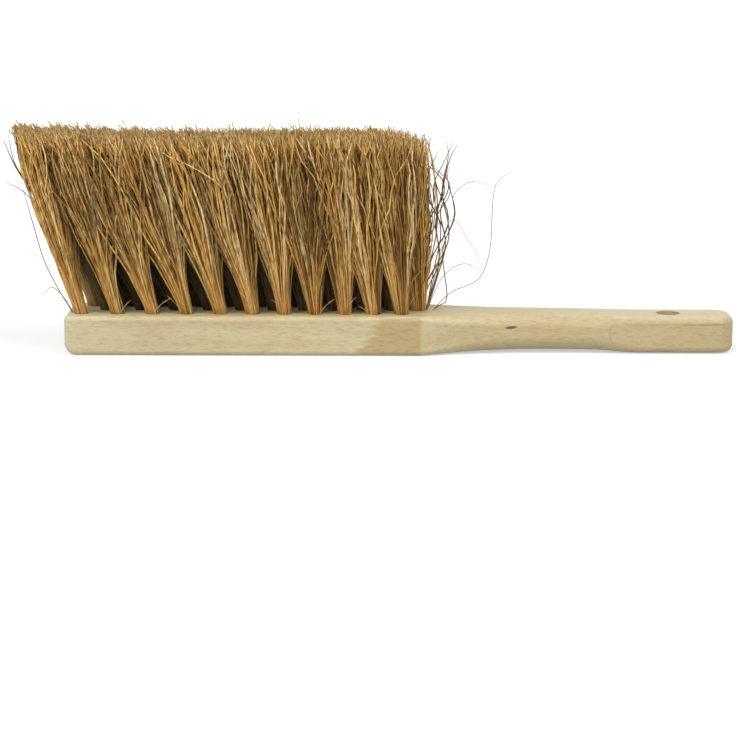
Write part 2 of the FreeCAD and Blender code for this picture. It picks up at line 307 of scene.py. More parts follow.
def tip_heights(rng, x):
    """Heights of the tips round the trim, some of them short and a few long."""
    count = len(x)
    height = trim_line(x) + rng.normal(0, TRIM_ROUGHNESS, count)
    short = rng.random(count) < SHORT_SHARE
    height -= np.where(short, np.abs(rng.normal(0, SHORT_BY, count)), 0)
    long = rng.random(count) < LONG_SHARE
    height += np.where(long, rng.random(count) * LONG_BY, 0)
    return height


trial_lock, trial_calm = gather_locks(np.random.default_rng(1), FIBRES_PER_TUFT)[1:]
print("locks in a trial tuft:", len(set(trial_lock)))
print("their spread at the tips in mm:", np.round(np.ptp(trial_calm, axis=0) / MM, 1))

# %% [markdown]
# Each path starts inside its hole, keeps the lean of the hole and opens towards its tip.
# On this brush the inner tufts sweep further towards the free end than their holes point, and the
# tufts near that end stay slender for longer. So both the sweep and the way a tuft opens depend on
# its place along the head. A lock also bows and sways as one strand, and each fibre adds its own part.

# %% Paths of the fibres in one tuft
HOLE_REACH = 4 * MM
MOUTH_RADIUS = 2.75 * MM
FIELD_ENDS = (-70 * MM, 73 * MM)
OPENINGS = (1.5, 0.88)
SWEEP_PLACES = np.array([-88, -68, -50, -35, -15, 10, 25, 40, 55, 80]) * MM
SWEEPS = np.array([0, -4.5, -8, -9.5, -8.5, -2, 1, -1.5, -9, -8]) * MM
WANDER_POWER = 1.7
LOCK_BOW = 1.6 * MM
OWN_BOW = 1.8 * MM
BOW_SCALE = 27 / 4
WAVES = ((1.6, 0.8 * MM, 0.9 * MM), (3.4, 0.45 * MM, 0.75 * MM))


def bows(rng, lock, opened):
    """One long bow for each lock and each fibre, as wide as drawn at two thirds of the height."""
    lock_bow = rng.normal(0, LOCK_BOW, (LOCKS_PER_TUFT, 1, 2))[lock]
    own_bow = rng.normal(0, OWN_BOW, (len(lock), 1, 2))
    return (lock_bow + own_bow) * BOW_SCALE * opened ** 2 * (1 - opened)


def sways(rng, lock, share, opened):
    """Waves along the fibres, with a swing for each lock and one for each fibre."""
    count = len(lock)
    total = 0
    for waves, lock_swing, own_swing in WAVES:
        for size, chosen in ((lock_swing, lock), (own_swing, np.arange(count))):
            phase = rng.random((count, 1, 2))[chosen] * 2 * math.pi
            swing = rng.normal(0, size, (count, 1, 2))[chosen]
            total = total + swing * np.sin(waves * 2 * math.pi * share + phase) * opened
    return total


def fibre_paths(rng, mouth, crown, row):
    """Paths for all the fibres of a tuft, from inside its hole to their tips, and their locks."""
    start, lock, calm = gather_locks(rng, FIBRES_PER_TUFT)
    lean = (crown - mouth)[:2]
    sweep = np.array([np.interp(crown[0], SWEEP_PLACES, SWEEPS), 0])
    middle = mouth[:2] + lean + sweep
    tips = place_tips(rng, middle + calm, row)
    wander = tips - middle - calm
    height = tip_heights(rng, tips[:, 0])

    along = np.linspace(0, 1, fibre_pattern.rings)
    rise = (-HOLE_REACH + along[None] * (height[:, None] - HEAD_TOP + HOLE_REACH))[:, :, None]
    share = rise / (TRIM_HEIGHT - HEAD_TOP)
    opened = np.clip(share, 0, None)
    opening = np.interp(mouth[0], FIELD_ENDS, OPENINGS)
    foot = start[:, None] * MOUTH_RADIUS
    flat = foot + (calm[:, None] - foot) * opened ** opening
    flat = flat + lean * share + sweep * opened + wander[:, None] * opened ** WANDER_POWER
    flat = flat + bows(rng, lock, opened)
    flat = flat + sways(rng, lock, share, opened)
    return np.concatenate([mouth[:2] + flat, HEAD_TOP + rise], axis=2), lock


trial = fibre_paths(np.random.default_rng(1), *tuft_line("tuft_front_01"), "front")[0]
print("paths in a tuft:", trial.shape[0], "highest tip in mm:", round(trial[..., 2].max() / MM, 1))

# %% [markdown]
# At the handle end some fibres have escaped: they leave the bundle near its foot, curl away from the
# brush and come back. Their paths are made by walking up in small steps while the direction swings
# from side to side. They belong to the tuft that they grow from.
# Short pale wisps stand out sideways at the foot of the outer tufts.

# %% Paths of the stray fibres
STRAYS = {"tuft_front_11": 4, "tuft_middle_11": 10, "tuft_back_11": 4}
STRAY_LENGTHS = (40 * MM, 76 * MM)
STRAY_FEET = ((0.2, 0.9), (-0.6, 0.6))
STRAY_OUT = (0.05, 0.40)
OUT_AND_BACK = 1.5 * math.pi
STRAY_SWINGS = (0.3, 0.8)
STRAY_TURNS = (0.8, 2.4)
STRAY_DEPTH = 0.06
STRAY_DEPTH_SWING = 0.20
WISPS_PER_TUFT = 1
WISP_LENGTHS = (6 * MM, 15 * MM)
WISP_FEET = 0.7
WISP_TURNS = (0.5, 1.2)
WISP_DEPTHS = (0.1, 0.4)


def walk(start, lean, angle, depth, step):
    """Paths that rise from a foot in small steps; the first point lies inside the hole."""
    x = np.cumsum(np.sin(angle) * step, axis=1)
    y = np.cumsum(np.sin(depth) * step, axis=1)
    z = np.cumsum(np.cos(angle) * np.cos(depth) * step, axis=1)
    climb = start[:, None] + np.stack([x, y, z], axis=2)
    below = start[:, None] - np.array([lean, 0, 1]) * HOLE_REACH
    return np.concatenate([below, start[:, None], climb], axis=1)


def lean_of(mouth, crown):
    """How far a tuft leans along the head for each unit of height."""
    return (crown - mouth)[0] / (crown - mouth)[2]


def stray_paths(rng, mouth, crown, count):
    """Curling paths that leave a tuft towards the handle."""
    steps = stray_pattern.rings - 2
    along = np.linspace(0, 1, steps)[None]
    lean = lean_of(mouth, crown)
    length = rng.uniform(*STRAY_LENGTHS, (count, 1))
    out = rng.uniform(*STRAY_OUT, (count, 1))
    swing = rng.uniform(*STRAY_SWINGS, (count, 1))
    turns = rng.uniform(*STRAY_TURNS, (count, 1))
    phase = rng.uniform(0, 2 * math.pi, (count, 1))
    angle = math.atan(lean) + out * np.sin(OUT_AND_BACK * along)
    angle = angle + swing * np.sin(2 * math.pi * turns * along + phase) * along ** 0.5
    depth = rng.normal(0, STRAY_DEPTH, (count, 1))
    depth = depth + STRAY_DEPTH_SWING * np.sin(2 * math.pi * along + phase)
    start_x = mouth[0] + rng.uniform(*STRAY_FEET[0], count) * MOUTH_RADIUS
    start_y = mouth[1] + rng.uniform(*STRAY_FEET[1], count) * MOUTH_RADIUS
    start = np.stack([start_x, start_y, np.full(count, HEAD_TOP)], axis=1)
    return walk(start, lean, angle, depth, length / steps)


def wisp_paths(rng, mouth, crown, count):
    """Short hairs that stand out at the foot of a tuft, on the outer side of its row."""
    steps = stray_pattern.rings - 2
    along = np.linspace(0, 1, steps)[None]
    outward = np.sign(mouth[1])
    length = rng.uniform(*WISP_LENGTHS, (count, 1))
    turn = rng.choice([-1, 1], (count, 1)) * rng.uniform(*WISP_TURNS, (count, 1))
    angle = turn * (1 + along) / 2
    depth = outward * rng.uniform(*WISP_DEPTHS, (count, 1)) * np.ones((1, steps))
    start_x = mouth[0] + rng.uniform(-WISP_FEET, WISP_FEET, count) * MOUTH_RADIUS
    start_y = np.full(count, mouth[1] + outward * WISP_FEET * MOUTH_RADIUS)
    start = np.stack([start_x, start_y, np.full(count, HEAD_TOP)], axis=1)
    return walk(start, lean_of(mouth, crown), angle, depth, length / steps)


print("stray fibres:", sum(STRAYS.values()))

# %% [markdown]
# A few hairs are so plain to see that they are drawn one by one. Those at the two ends are points in
# the upright plane of their row, as length and height in mm, after their radius in mm.
# Two more are drawn in space, after their radius and tone: a pale one that crosses the front and a
# dark one that stands above the trim. A smooth line through the points gives each hair its path.

# %% Paths of the hairs drawn one by one
HANDLE_END_HAIRS = (
    (0.28, ((77, 15), (82, 18.3), (85.3, 22), (83.4, 42), (88.4, 57), (84.9, 72), (86, 78))),
    (0.30, ((76, 15), (81.8, 36), (80.4, 53), (82.5, 65), (85.7, 80), (89, 86.8))),
    (0.28, ((76, 14), (79.7, 34), (82.5, 49), (80.0, 61), (79.5, 70), (84.0, 80), (87, 87))),
    (0.30, ((76, 14), (81, 30), (84.5, 44), (82.2, 58), (85.5, 68), (83.8, 76))),
    (0.14, ((77, 14), (86.5, 24), (98.3, 29.4), (103.2, 42), (104.2, 63), (106.2, 71), (113, 76))),
    (0.13, ((76, 14), (82, 28), (88, 34.5), (94, 36), (99, 33))),
    (0.14, ((76, 14), (83.0, 42), (88.0, 56), (87.5, 65), (94.5, 71), (102, 69.6))),
    (0.11, ((76, 14), (82.0, 40), (85.0, 52), (88.4, 54.8), (93.5, 47), (98.4, 39), (99.5, 33))),
)
FREE_END_HAIRS = (
    (0.30, ((-69, 14), (-75, 41), (-82, 57), (-90, 71), (-94.5, 79), (-98.2, 88.5))),
    (0.28, ((-69, 14), (-74, 40), (-81, 56), (-89.5, 70.5), (-94.6, 80), (-96.4, 91))),
    (0.28, ((-69, 14), (-75, 42), (-83, 60), (-90.5, 74), (-93.0, 84), (-93.4, 96))),
    (0.22, ((-70, 14), (-75, 36), (-82, 55), (-89.5, 66.5), (-98.0, 72))),
    (0.20, ((-70, 14), (-77.7, 26.4), (-83.6, 39), (-87.7, 55), (-91.0, 69))),
    (0.14, ((-70, 14), (-75.0, 22), (-80.2, 27.2), (-83.7, 24.2))),
)
DRAWN_HAIRS = {"tuft_middle_11": HANDLE_END_HAIRS, "tuft_front_01": FREE_END_HAIRS}
SINGLE_HAIRS = {
    "tuft_front_06": (0.28, 0.92, (
        (0.1, -15, 39.3), (-3.6, -18.5, 57.3), (-6.7, -20.5, 68.7), (-10.4, -21.5, 73.5),
        (-18.4, -22, 78.7), (-27, -22, 83), (-31.5, -21.5, 84.7), (-38.1, -20, 92.6))),
    "tuft_middle_08": (0.24, 0.05, (
        (28.4, 0, 50.5), (24.3, 0, 84.1), (23.4, 0, 92.9), (22.8, 0, 97.6))),
}
STEPS_PER_SPAN = 20
HAIR_SWAY = 3 * MM
HAIR_SHIFT = 0.5


def smooth_line(points, rings):
    """Even steps along a smooth line through the points."""
    points = np.array(points, dtype=float)
    ends = np.concatenate([[2 * points[0] - points[1]], points, [2 * points[-1] - points[-2]]])
    t = np.linspace(0, 1, STEPS_PER_SPAN, endpoint=False)[:, None]
    spans = []
    for a, b, c, d in zip(ends, ends[1:], ends[2:], ends[3:]):
        bend = 2 * a - 5 * b + 4 * c - d + t * (3 * (b - c) + d - a)
        spans.append(b + 0.5 * t * (c - a + t * bend))
    line = np.concatenate(spans + [points[-1:]])
    travel = np.concatenate([[0], np.cumsum(np.linalg.norm(np.diff(line, axis=0), axis=1))])
    even = np.linspace(0, travel[-1], rings)
    return np.stack([np.interp(even, travel, column) for column in line.T], axis=1)


def drawn_paths(rng, hairs, mouth):
    """Hairs drawn in a plane, each swaying a little out of it, with their radii."""
    rings = stray_pattern.rings
    paths = []
    for radius, points in hairs:
        flat = smooth_line(points, rings) * MM
        shift = rng.uniform(-HAIR_SHIFT, HAIR_SHIFT)
        sway = mouth[1] + HAIR_SWAY * np.sin(np.linspace(0, math.pi, rings) + shift)
        paths.append(np.stack([flat[:, 0], sway, flat[:, 1]], axis=1))
    return np.array(paths), np.array([radius for radius, points in hairs]) * MM


def single_path(points, mouth):
    """One hair drawn in space, from inside its hole through the points."""
    foot = (mouth[0] / MM, mouth[1] / MM, (HEAD_TOP - HOLE_REACH) / MM)
    return smooth_line((foot, *points), stray_pattern.rings) * MM


print("hairs drawn by hand:", len(HANDLE_END_HAIRS) + len(FREE_END_HAIRS) + len(SINGLE_HAIRS))

# %% [markdown]
# A finish is a small net of shader nodes. These helpers each add a node or two, set the sockets that
# stay constant and link the rest, so that a finish further down reads as a list of steps.
# Pattern sizes are given in mm, as one would measure a blot or a fleck on the real thing.
# A range is four numbers: a low and a high value, and what the two are turned into.

# %% Helpers for the finishes
MIX_FACTOR, MIX_FIRST, MIX_SECOND, MIX_RESULT = 0, 6, 7, 2


def put(tree, kind, **values):
    """Add a shader node and set its sockets and settings by name."""
    node = tree.nodes.new(kind)
    for name, value in values.items():
        socket = name.replace("_", " ")
        if socket in node.inputs:
            node.inputs[socket].default_value = value
        else:
            setattr(node, name, value)
    return node


def start_material(name):
    """A new material with its shader; everything else is added to it."""
    material = bpy.data.materials.new(name)
    material.use_nodes = True
    tree = material.node_tree
    return material, tree, tree.nodes["Principled BSDF"]


def colour_ramp(tree, source, stops):
    """Turn a value into a colour by a list of places and colours."""
    ramp = put(tree, "ShaderNodeValToRGB")
    elements = ramp.color_ramp.elements
    while len(elements) < len(stops):
        elements.new(0.5)
    for element, (place, colour) in zip(elements, stops):
        element.position = place
        element.color = (*colour, 1)
    tree.links.new(source, ramp.inputs["Fac"])
    return ramp.outputs["Color"]


def mix_colours(tree, factor, first, second, blend="MIX"):
    """Mix two colours; each is a socket or a plain colour, and the factor is a socket."""
    mix = put(tree, "ShaderNodeMix", data_type="RGBA", blend_type=blend)
    tree.links.new(factor, mix.inputs[MIX_FACTOR])
    for number, colour in ((MIX_FIRST, first), (MIX_SECOND, second)):
        if isinstance(colour, tuple):
            mix.inputs[number].default_value = (*colour, 1)
        else:
            tree.links.new(colour, mix.inputs[number])
    return mix.outputs[MIX_RESULT]


def ease(tree, source, low, high, to_low=0.0, to_high=1.0):
    """Map a range of a value smoothly onto another range."""
    step = put(tree, "ShaderNodeMapRange", interpolation_type="SMOOTHSTEP",
               From_Min=low, From_Max=high, To_Min=to_low, To_Max=to_high)
    tree.links.new(source, step.inputs["Value"])
    return step.outputs["Result"]


def stretch(tree, place, size, turn=(0, 0, 0)):
    """Turn a place and measure it in pattern sizes, given in mm along each axis."""
    lengths = tuple(length * MM for length in size)
    mapping = put(tree, "ShaderNodeMapping", vector_type="TEXTURE", Scale=lengths, Rotation=turn)
    tree.links.new(place, mapping.inputs["Vector"])
    return mapping.outputs["Vector"]


def stretched_noise(tree, place, size, turn=(0, 0, 0), **values):
    """Noise whose blots have the given size in mm."""
    noise = put(tree, "ShaderNodeTexNoise", Scale=1.0, **values)
    tree.links.new(stretch(tree, place, size, turn), noise.inputs["Vector"])
    return noise.outputs["Fac"]


def times(tree, first, second):
    """The product of two values."""
    product = put(tree, "ShaderNodeMath", operation="MULTIPLY")
    tree.links.new(first, product.inputs[0])
    tree.links.new(second, product.inputs[1])
    return product.outputs["Value"]


helpers = (put, start_material, colour_ramp, mix_colours, ease, stretch, stretched_noise, times)
print("helpers:", [helper.__name__ for helper in helpers])

# %% [markdown]
# The coir finish. Dry husk runs from dark brown to straw, and no two fibres match, so each fibre
# carries its own tone as an attribute of the mesh. A second attribute runs from 0 at the hole to 1 at
# the tip, because the fibre is redder near the wood and darker at the very tip. A third says how deep
# in the brush the fibre stands, and the inner fibres are darkened below with painted shade.
# A fine noise on top mottles each fibre along its length.

# %% The coir finish
COIR_TONES = (
    (0.00, (0.080, 0.040, 0.013)),
    (0.30, (0.500, 0.248, 0.060)),
    (0.60, (0.830, 0.475, 0.128)),
    (0.85, (0.930, 0.610, 0.220)),
    (1.00, (0.900, 0.650, 0.320)),
)
FOOT_RED = (0.47, 0.23, 0.052)
BLOT_BROWN = (0.15, 0.078, 0.024)
TIP_BROWN = (0.20, 0.12, 0.040)
# Painted shade that darkens the inner fibres below their tips.
PAINTED_SHADE_BROWN = (0.018, 0.012, 0.008)
MOTTLE_SIZE = (1.2, 1.2, 4.2)
FOOT_RANGE = (0.00, 0.50, 0.55, 0.00)
BLOT_RANGE = (0.42, 0.68, 0.00, 0.66)
BLOT_ALONG_RANGE = (0.10, 0.45, 0.40, 1.00)
TIP_RANGE = (0.96, 1.00, 0.00, 0.45)
PAINTED_SHADE_RANGE = (0.78, 1.00, 0.97, 0.28)
COIR_ROUGHNESS_RANGE = (0.30, 0.70, 0.42, 0.62)
COIR_SPECULAR = 0.2


def coir_finish():
    """Dry coconut fibre in many tones."""
    material, tree, shader = start_material("coir")
    tone, along, depth = (put(tree, "ShaderNodeAttribute", attribute_name=name).outputs["Fac"]
                          for name in ("coir_tone", "coir_along", "coir_shade_depth"))
    place = put(tree, "ShaderNodeTexCoord").outputs["Object"]
    colour = colour_ramp(tree, tone, COIR_TONES)
    near_foot = ease(tree, along, *FOOT_RANGE)
    colour = mix_colours(tree, near_foot, colour, FOOT_RED)
    mottle = stretched_noise(tree, place, MOTTLE_SIZE, Detail=2.0)
    blots = times(tree, ease(tree, mottle, *BLOT_RANGE), ease(tree, along, *BLOT_ALONG_RANGE))
    colour = mix_colours(tree, blots, colour, BLOT_BROWN)
    at_tip = ease(tree, along, *TIP_RANGE)
    colour = mix_colours(tree, at_tip, colour, TIP_BROWN)
    # Painted shade: fibres deep in the brush are darkened, except near their tips.
    painted_shade = times(tree, depth, ease(tree, along, *PAINTED_SHADE_RANGE))
    colour = mix_colours(tree, painted_shade, colour, PAINTED_SHADE_BROWN)
    tree.links.new(colour, shader.inputs["Base Color"])
    tree.links.new(ease(tree, mottle, *COIR_ROUGHNESS_RANGE), shader.inputs["Roughness"])
    shader.inputs["Specular IOR Level"].default_value = COIR_SPECULAR
    return material


coir = coir_finish()
print("material made:", coir.name)

# %% [markdown]
# Each fibre gets a tone, a thickness and a depth in the brush. Straw-coloured fibres are a little
# thicker than the dark ones, as in real coir. A whole lock shares a shift of tone, because its fibres
# were combed from one piece of husk. Depth counts inwards from the sides of the brush and, more
# slowly, from its ends. Wisps are thin and pale, strays and drawn hairs are dark.
# The fibres of a tuft come in batches, because strays have more rings than the others.

# %% Tones, thickness and depth of the fibres
DARK_SHARE = 0.20
MIDDLING_SHARE = 0.72
DARK_TONES = (0.04, 0.28)
MIDDLING_TONES = (0.38, 0.70)
LIGHT_TONES = (0.74, 1.00)
LOCK_TONE = 0.20
DARKEST_RADIUS = 0.25 * MM
TONE_RADIUS = 0.20 * MM
RADIUS_SPREAD = 0.05 * MM
RADIUS_LIMITS = (0.16 * MM, 0.52 * MM)
WISP_TONES = (0.75, 1.00)
WISP_RADII = (0.08 * MM, 0.12 * MM)
STRAY_TONES = (0.00, 0.22)
STRAY_RADII = (0.18 * MM, 0.30 * MM)
HAIR_TONES = (0.00, 0.15)
FIELD_HALF = 11.8 * MM
OUTER_LAYER = 5 * MM
END_LAYER = 12 * MM
PAINTED_SHADE_ALONG = (1.0, 0.86)


def between(limits, share):
    """A value part of the way from one limit to the other."""
    low, high = limits
    return low + (high - low) * share


def mixed_tones(rng, count, lock):
    """Tones of many fibres: a fifth dark, half middling and the rest light, shifted by lock."""
    kind = rng.random(count)
    shade = rng.random(count)
    tone = np.select([kind < DARK_SHARE, kind < MIDDLING_SHARE],
                     [between(DARK_TONES, shade), between(MIDDLING_TONES, shade)],
                     between(LIGHT_TONES, shade))
    return np.clip(tone + rng.normal(0, LOCK_TONE, count)[lock], 0, 1)


def depth_inside(paths):
    """0 for a fibre rooted at the outside of the brush, 1 for one rooted well inside."""
    foot = paths[:, 1]
    sideways = (FIELD_HALF - np.abs(foot[:, 1])) / OUTER_LAYER
    lengthwise = np.minimum(foot[:, 0] - FIELD_ENDS[0], FIELD_ENDS[1] - foot[:, 0]) / END_LAYER
    # Painted shade reaches a little less deep towards the handle end.
    shade_along = np.interp(foot[:, 0], FIELD_ENDS, PAINTED_SHADE_ALONG)
    return np.clip(np.minimum(sideways, lengthwise), 0, 1) * shade_along


def loose_batch(rng, paths, tones, radii):
    """A batch of loose fibres, with tones and radii drawn from two ranges."""
    tone = rng.uniform(*tones, len(paths))
    return stray_pattern, paths, rng.uniform(*radii, len(paths)), tone, np.zeros(len(paths))


def make_batches(rng, name):
    """All the fibres of a tuft in batches of pattern, paths, radii, tones and depths."""
    mouth, crown = tuft_line(name)
    row = name.split("_")[1]
    paths, lock = fibre_paths(rng, mouth, crown, row)
    tone = mixed_tones(rng, len(paths), lock)
    radii = DARKEST_RADIUS + TONE_RADIUS * tone + rng.normal(0, RADIUS_SPREAD, len(paths))
    batches = [(fibre_pattern, paths, np.clip(radii, *RADIUS_LIMITS), tone, depth_inside(paths))]
    if row != "middle":
        paths = wisp_paths(rng, mouth, crown, WISPS_PER_TUFT)
        batches.append(loose_batch(rng, paths, WISP_TONES, WISP_RADII))
    if name in STRAYS:
        paths = stray_paths(rng, mouth, crown, STRAYS[name])
        batches.append(loose_batch(rng, paths, STRAY_TONES, STRAY_RADII))
    if name in DRAWN_HAIRS:
        paths, radii = drawn_paths(rng, DRAWN_HAIRS[name], mouth)
        tone = rng.uniform(*HAIR_TONES, len(paths))
        batches.append((stray_pattern, paths, radii, tone, np.zeros(len(paths))))
    if name in SINGLE_HAIRS:
        radius, tone, points = SINGLE_HAIRS[name]
        path = single_path(points, mouth)[None]
        batches.append((stray_pattern, path, np.array([radius]) * MM, np.array([tone]), np.zeros(1)))
    return batches


trial_batches = make_batches(np.random.default_rng(1), "tuft_front_11")
print("fibres in the batches of a trial tuft:", [len(batch[1]) for batch in trial_batches])

# %% [markdown]
# Now the tufts. Each one gets its own fibres from its own seed, so the broom comes out the same every
# time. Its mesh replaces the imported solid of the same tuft, rides on the same body and takes the coir
# slot.

# %% Make the tufts
FIRST_SEED = 2100
ATTRIBUTES = ("coir_tone", "coir_along", "coir_shade_depth")


def join_batches(rng, batches):
    """Points, faces, flat layout and attributes of a whole tuft."""
    columns = math.ceil(math.sqrt(sum(len(batch[1]) for batch in batches)))
    joined = {name: [] for name in ("points", "faces", "layout") + ATTRIBUTES}
    placed = 0
    first_point = 0
    for pattern, paths, radii, tone, depth in batches:
        count = len(paths)
        each = len(pattern.points)
        bent = bend_copies(pattern, paths, radii, rng.random(count) * math.pi)
        offset = first_point + np.arange(count)[:, None, None] * each
        number = placed + np.arange(count)
        cell = np.stack([number % columns, number // columns], axis=1)[:, None, None]
        joined["points"].append(bent.reshape(-1, 3))
        joined["faces"].append((pattern.faces[None] + offset).reshape(-1, pattern.faces.shape[1]))
        joined["layout"].append(((pattern.layout[None] + cell) / columns).reshape(-1, 2))
        joined["coir_tone"].append(np.repeat(tone, each))
        joined["coir_along"].append(np.tile(pattern.points[:, 2], count))
        joined["coir_shade_depth"].append(np.repeat(depth, each))
        placed += count
        first_point += count * each
    return {name: np.concatenate(parts) for name, parts in joined.items()}


def make_tuft(name, seed):
    """The mesh of one tuft: all its fibres, and its loose ones where it has some."""
    rng = np.random.default_rng(seed)
    joined = join_batches(rng, make_batches(rng, name))
    mesh = bpy.data.meshes.new(f"coir_{name}")
    mesh.from_pydata(joined["points"], [], joined["faces"])
    for kind in ATTRIBUTES:
        attribute = mesh.attributes.new(kind, "FLOAT", "POINT")
        attribute.data.foreach_set("value", joined[kind].astype(np.float32))
    flat = mesh.uv_layers.new(name="OFBake")
    flat.data.foreach_set("uv", joined["layout"].astype(np.float32).ravel())
    mesh.shade_smooth()
    mesh.materials.append(coir)
    tuft = bpy.data.objects.new(f"coir_{name}", mesh)
    bpy.context.scene.collection.objects.link(tuft)
    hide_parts(name)
    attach(tuft, "root")
    return tuft


tufts = [make_tuft(name, FIRST_SEED + number) for number, name in enumerate(tuft_names)]
print("tufts:", len(tufts), "faces in all:", sum(len(tuft.data.polygons) for tuft in tufts))

# %% [markdown]
# The beech finish is made in three steps: first the tones of the board, then its marks, then all of
# it together. Plain sanded beech is pale and a little pink, with faint growth bands along the board.
# This board is paler at the free end, where the end grain is palest, and browner along the handle.
# It blushes in long soft blots, and painted light makes the top of the handle lighter and greyer.
# On the front of the head, next to the handle, the wood turns warmer behind a jagged border.
# All of it is drawn in Object coordinates, with the noise stretched along the board, so that the
# grain runs through the solid. A wash is a tone that comes or goes over a range along the board.

# %% Tones of the board
SLANT = (0, math.radians(1.5), math.radians(1))
BAND_SIZE = (90, 8, 6.5)
BAND_TONES = (
    (0.28, (0.510, 0.408, 0.222)),
    (0.50, (0.570, 0.470, 0.268)),
    (0.72, (0.625, 0.535, 0.328)),
)
WASHES = {
    "free end": ((-70 * MM, 0, 0.45, 0.00), (0.630, 0.560, 0.380)),
    "handle": ((70 * MM, 130 * MM, 0.00, 0.42), (0.41, 0.30, 0.142)),
    "end grain": ((-73.5 * MM, -71.5 * MM, 0.60, 0.00), (0.62, 0.57, 0.44)),
}
BLUSH_SIZE = (26, 9, 9)
BLUSH_RANGE = (0.48, 0.72, 0.00, 0.45)
BLUSH_TONE = (0.52, 0.385, 0.225)
UPWARD_RANGE = (0.60, 0.98, 0.00, 0.40)
TOP_LIGHT_ALONG_RANGE = (60 * MM, 170 * MM, 0.00, 1.00)
PAINTED_TOP_LIGHT_TONE = (0.68, 0.64, 0.47)
JAG_SIZE = (9, 9, 1.3)
JAG_REACH = 16 * MM
BORDER_SLOPE = 0.6
BORDER_RANGE = (37.5 * MM, 42.5 * MM, 0.00, 1.00)
HEAD_FRONT_RANGE = (-16.8 * MM, -16 * MM, 1.00, 0.00)
WARM_END_RANGE = (73.2 * MM, 75 * MM, 0.62, 0.00)
WARM_TONE = (0.40, 0.27, 0.105)


def scaled_sum(tree, value, factor, addend):
    """A value times a factor, plus a number or another value."""
    node = put(tree, "ShaderNodeMath", operation="MULTIPLY_ADD")
    tree.links.new(value, node.inputs[0])
    node.inputs[1].default_value = factor
    if isinstance(addend, float):
        node.inputs[2].default_value = addend
    else:
        tree.links.new(addend, node.inputs[2])
    return node.outputs["Value"]


def board_tones(tree, place, x):
    """Growth bands, the change along the board, a soft blush and painted light on the top of the
    handle.
    """
    bands = stretched_noise(tree, place, BAND_SIZE, SLANT, Detail=3.0, Distortion=0.5)
    colour = colour_ramp(tree, bands, BAND_TONES)
    for along_board, tone in WASHES.values():
        colour = mix_colours(tree, ease(tree, x, *along_board), colour, tone)
    blush = stretched_noise(tree, place, BLUSH_SIZE, SLANT, Detail=2.0)
    colour = mix_colours(tree, ease(tree, blush, *BLUSH_RANGE), colour, BLUSH_TONE)
    facing = put(tree, "ShaderNodeSeparateXYZ")
    tree.links.new(put(tree, "ShaderNodeNewGeometry").outputs["Normal"], facing.inputs["Vector"])
    upward = ease(tree, facing.outputs["Z"], *UPWARD_RANGE)
    # Painted light from above: faces that look up along the handle are made lighter and greyer.
    painted_top_light = times(tree, upward, ease(tree, x, *TOP_LIGHT_ALONG_RANGE))
    return mix_colours(tree, painted_top_light, colour, PAINTED_TOP_LIGHT_TONE)


def warm_patch(tree, place, colour, x, y, z):
    """Warmer wood on the front of the head, from a jagged border to the handle."""
    jagged = stretched_noise(tree, place, JAG_SIZE, Detail=2.0)
    border = scaled_sum(tree, z, -BORDER_SLOPE, scaled_sum(tree, jagged, -JAG_REACH, x))
    patch = ease(tree, border, *BORDER_RANGE)
    patch = times(tree, patch, ease(tree, y, *HEAD_FRONT_RANGE))
    patch = times(tree, patch, ease(tree, x, *WARM_END_RANGE))
    return mix_colours(tree, patch, colour, WARM_TONE)


print("washes:", list(WASHES), "growth bands in mm:", BAND_SIZE, "blush in mm:", BLUSH_SIZE)

# %% [markdown]
# Beech is known by its short brown flecks. Here they are stretched cells in three sizes, each turned
# a little out of the grain, over fine streaks. Both only multiply the tone below them, so they show
# on pale and on brown wood alike.
# The front of the handle has one small pin knot, a fine dark line at the grip and a faint line of
# painted shade where the rounded neck turns into the flat side. The hanging hole is a little darker
# inside.

# %% Marks in the wood
STREAK_SIZE = (13, 0.6, 0.6)
STREAK_RANGE = (0.48, 0.78, 0.00, 0.30)
STREAK_TINT = (0.81, 0.72, 0.67)
FLECKS = (
    ((5.5, 0.8, 0.8), 4, 0.42),
    ((3.2, 0.55, 0.55), -9, 0.27),
    ((2.6, 0.65, 0.65), 19, 0.25),
)
FLECK_EDGE = (0.15, 0.45)
FLECK_TINT = (0.667, 0.574, 0.48)
SPOT_RANGE = (0.30, 1.20, 1.00, 0.00)
HANDLE_FRONT_RANGE = (-9 * MM, -7 * MM, 1.00, 0.00)
KNOT_PLACE = (111.8 * MM, 11.3 * MM)
KNOT_SIZE = (2.7 * MM, 0.7 * MM)
KNOT_TILT = math.radians(6)
KNOT_TONE = (0.13, 0.06, 0.02)
GRIP_LINE_PLACE = (192.5 * MM, 12.5 * MM)
GRIP_LINE_SIZE = (11.5 * MM, 0.28 * MM)
GRIP_LINE_TILT = math.radians(0.8)
GRIP_LINE_RANGE = (0.20, 0.50, 0.40, 0.80)
GRIP_LINE_TONE = (0.25, 0.16, 0.07)
ARC_MIDDLE = (158.7 * MM, 8.6 * MM)
ARC_RADIUS = 5.7 * MM
ARC_WIDTH = 0.9 * MM
ARC_SHADE_STRENGTH = 0.35
ARC_END_RANGE = (154.5 * MM, 157 * MM, 1.00, 0.00)
ARC_SHADE_TONE = (0.34, 0.25, 0.13)
HANG_HOLE = (178.5 * MM, 0)
HANG_RADIUS = 5 * MM
HANG_RIM = 0.3 * MM
HANG_SHADE = 0.15
HANG_TONE = (0.34, 0.23, 0.10)


